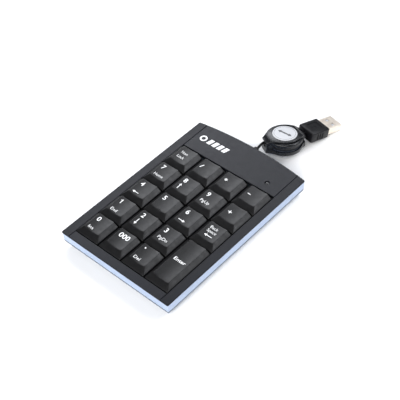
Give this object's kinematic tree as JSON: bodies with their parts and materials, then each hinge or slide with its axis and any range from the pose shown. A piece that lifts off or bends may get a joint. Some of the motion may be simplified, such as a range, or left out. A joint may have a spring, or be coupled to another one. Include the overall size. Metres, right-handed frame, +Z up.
{
  "type": "numeric keypad",
  "caption": "Low black numeric keypad with a silver edge band, dished square keys, a long Enter key, a pocket cord reel and a USB plug.",
  "frame": {"origin": "middle of the keypad's footprint on the surface it stands on, with the cord, reel and plug left out", "axes": "+Z up, +Y towards the rear edge where the cord leaves, +X to the right of someone typing"},
  "size_m": [0.0874, 0.191, 0.0154],
  "materials": {
    "deck_black": "charcoal black ABS with a fine satin grain",
    "rail_black": "charcoal black ABS with a fine satin grain",
    "band_silver": "smooth silver lacquer over plastic",
    "case_silver": "silver grey moulded plastic",
    "key_cap": "black ABS keycap with a light sheen and white printed legends",
    "guide_black": "plain black moulded plastic",
    "dome_rubber": "translucent pale silicone rubber",
    "clear_film": "clear polyester film with printed tracks",
    "green_film": "tinted polyester spacer film",
    "plate_steel": "plain zinc plated sheet steel",
    "screw_steel": "zinc plated steel",
    "wire_steel": "drawn spring steel wire",
    "board_green": "green solder mask on glass fibre board",
    "led_clear": "clear epoxy lamp body",
    "lens_dark": "smoked clear plastic",
    "cord_black": "soft black cord jacket",
    "reel_black": "semi gloss black plastic",
    "spool_graphite": "dark graphite plastic",
    "label_white": "smooth white plastic",
    "plug_black": "moulded black grip with a fine texture",
    "shell_nickel": "nickel plated sheet steel",
    "rubber_foot": "matt black rubber"
  },
  "bodies": {
    "case": {"top_cover": "deck_black", "left_rail": "rail_black", "right_rail": "rail_black", "silver_band": "band_silver", "bottom_case": "case_silver", "case_screw_1": "screw_steel", "case_screw_2": "screw_steel", "case_screw_3": "screw_steel", "case_screw_4": "screw_steel", "foot_1": "rubber_foot", "foot_2": "rubber_foot", "foot_3": "rubber_foot", "foot_4": "rubber_foot", "key_frame": "guide_black", "dome_sheet": "dome_rubber", "membrane_lower": "clear_film", "membrane_spacer": "green_film", "membrane_upper": "clear_film", "back_plate": "plate_steel", "controller_board": "board_green", "status_led": "led_clear", "led_lens": "lens_dark", "strain_relief": "cord_black", "cord_keypad_end": "cord_black", "wound_cord": "cord_black", "cord_plug_end": "cord_black", "reel_top_shell": "reel_black", "reel_bottom_shell": "reel_black", "reel_spring": "wire_steel", "reel_label": "label_white", "plug_grip": "plug_black", "plug_shell": "shell_nickel", "plug_tongue": "label_white"},
    "key_num_lock": {"key_num_lock": "key_cap"},
    "key_divide": {"key_divide": "key_cap"},
    "key_multiply": {"key_multiply": "key_cap"},
    "key_minus": {"key_minus": "key_cap"},
    "key_7": {"key_7": "key_cap"},
    "key_8": {"key_8": "key_cap"},
    "key_9": {"key_9": "key_cap"},
    "key_plus": {"key_plus": "key_cap"},
    "key_4": {"key_4": "key_cap"},
    "key_5": {"key_5": "key_cap"},
    "key_6": {"key_6": "key_cap"},
    "key_backspace": {"key_backspace": "key_cap"},
    "key_1": {"key_1": "key_cap"},
    "key_2": {"key_2": "key_cap"},
    "key_3": {"key_3": "key_cap"},
    "key_enter": {"key_enter": "key_cap"},
    "key_0": {"key_0": "key_cap"},
    "key_000": {"key_000": "key_cap"},
    "key_point": {"key_point": "key_cap"},
    "enter_wire": {"enter_stabiliser": "wire_steel"},
    "spool": {"reel_spool": "spool_graphite"}
  },
  "joints": [
    {"name": "key_num_lock_press", "type": "slide", "parent": "case", "child": "key_num_lock", "axis": [0, 0, -1], "range_m": [0, 0.0024], "stiffness_N_per_m": 180, "springref_m": -0.003, "deforming": ["dome_sheet"]},
    {"name": "key_divide_press", "type": "slide", "parent": "case", "child": "key_divide", "axis": [0, 0, -1], "range_m": [0, 0.0024], "stiffness_N_per_m": 180, "springref_m": -0.003, "deforming": ["dome_sheet"]},
    {"name": "key_multiply_press", "type": "slide", "parent": "case", "child": "key_multiply", "axis": [0, 0, -1], "range_m": [0, 0.0024], "stiffness_N_per_m": 180, "springref_m": -0.003, "deforming": ["dome_sheet"]},
    {"name": "key_minus_press", "type": "slide", "parent": "case", "child": "key_minus", "axis": [0, 0, -1], "range_m": [0, 0.0024], "stiffness_N_per_m": 180, "springref_m": -0.003, "deforming": ["dome_sheet"]},
    {"name": "key_7_press", "type": "slide", "parent": "case", "child": "key_7", "axis": [0, 0, -1], "range_m": [0, 0.0024], "stiffness_N_per_m": 180, "springref_m": -0.003, "deforming": ["dome_sheet"]},
    {"name": "key_8_press", "type": "slide", "parent": "case", "child": "key_8", "axis": [0, 0, -1], "range_m": [0, 0.0024], "stiffness_N_per_m": 180, "springref_m": -0.003, "deforming": ["dome_sheet"]},
    {"name": "key_9_press", "type": "slide", "parent": "case", "child": "key_9", "axis": [0, 0, -1], "range_m": [0, 0.0024], "stiffness_N_per_m": 180, "springref_m": -0.003, "deforming": ["dome_sheet"]},
    {"name": "key_plus_press", "type": "slide", "parent": "case", "child": "key_plus", "axis": [0, 0, -1], "range_m": [0, 0.0024], "stiffness_N_per_m": 180, "springref_m": -0.003, "deforming": ["dome_sheet"]},
    {"name": "key_4_press", "type": "slide", "parent": "case", "child": "key_4", "axis": [0, 0, -1], "range_m": [0, 0.0024], "stiffness_N_per_m": 180, "springref_m": -0.003, "deforming": ["dome_sheet"]},
    {"name": "key_5_press", "type": "slide", "parent": "case", "child": "key_5", "axis": [0, 0, -1], "range_m": [0, 0.0024], "stiffness_N_per_m": 180, "springref_m": -0.003, "deforming": ["dome_sheet"]},
    {"name": "key_6_press", "type": "slide", "parent": "case", "child": "key_6", "axis": [0, 0, -1], "range_m": [0, 0.0024], "stiffness_N_per_m": 180, "springref_m": -0.003, "deforming": ["dome_sheet"]},
    {"name": "key_backspace_press", "type": "slide", "parent": "case", "child": "key_backspace", "axis": [0, 0, -1], "range_m": [0, 0.0024], "stiffness_N_per_m": 180, "springref_m": -0.003, "deforming": ["dome_sheet"]},
    {"name": "key_1_press", "type": "slide", "parent": "case", "child": "key_1", "axis": [0, 0, -1], "range_m": [0, 0.0024], "stiffness_N_per_m": 180, "springref_m": -0.003, "deforming": ["dome_sheet"]},
    {"name": "key_2_press", "type": "slide", "parent": "case", "child": "key_2", "axis": [0, 0, -1], "range_m": [0, 0.0024], "stiffness_N_per_m": 180, "springref_m": -0.003, "deforming": ["dome_sheet"]},
    {"name": "key_3_press", "type": "slide", "parent": "case", "child": "key_3", "axis": [0, 0, -1], "range_m": [0, 0.0024], "stiffness_N_per_m": 180, "springref_m": -0.003, "deforming": ["dome_sheet"]},
    {"name": "key_enter_press", "type": "slide", "parent": "case", "child": "key_enter", "axis": [0, 0, -1], "range_m": [0, 0.0024], "stiffness_N_per_m": 180, "springref_m": -0.003, "deforming": ["dome_sheet"]},
    {"name": "key_0_press", "type": "slide", "parent": "case", "child": "key_0", "axis": [0, 0, -1], "range_m": [0, 0.0024], "stiffness_N_per_m": 180, "springref_m": -0.003, "deforming": ["dome_sheet"]},
    {"name": "key_000_press", "type": "slide", "parent": "case", "child": "key_000", "axis": [0, 0, -1], "range_m": [0, 0.0024], "stiffness_N_per_m": 180, "springref_m": -0.003, "deforming": ["dome_sheet"]},
    {"name": "key_point_press", "type": "slide", "parent": "case", "child": "key_point", "axis": [0, 0, -1], "range_m": [0, 0.0024], "stiffness_N_per_m": 180, "springref_m": -0.003, "deforming": ["dome_sheet"]},
    {"name": "enter_wire_turn", "type": "hinge", "parent": "case", "child": "enter_wire", "pos_m": [0.0351, -0.0395, 0.0089], "axis": [0, -1, 0], "range_deg": [0, 25.3]},
    {"name": "spool_turn", "type": "hinge", "parent": "case", "child": "spool", "pos_m": [0.0086, 0.0851, 0.0087], "axis": [-0.0457, 0.1265, 0.9909], "range_deg": [0, 1080], "stiffness_Nm_per_rad": 0.0002, "springref_deg": -343.77}
  ],
  "couplings": [
    {"joint": "enter_wire_turn", "follows": "key_enter_press", "rad_per_m": 183.25}
  ]
}
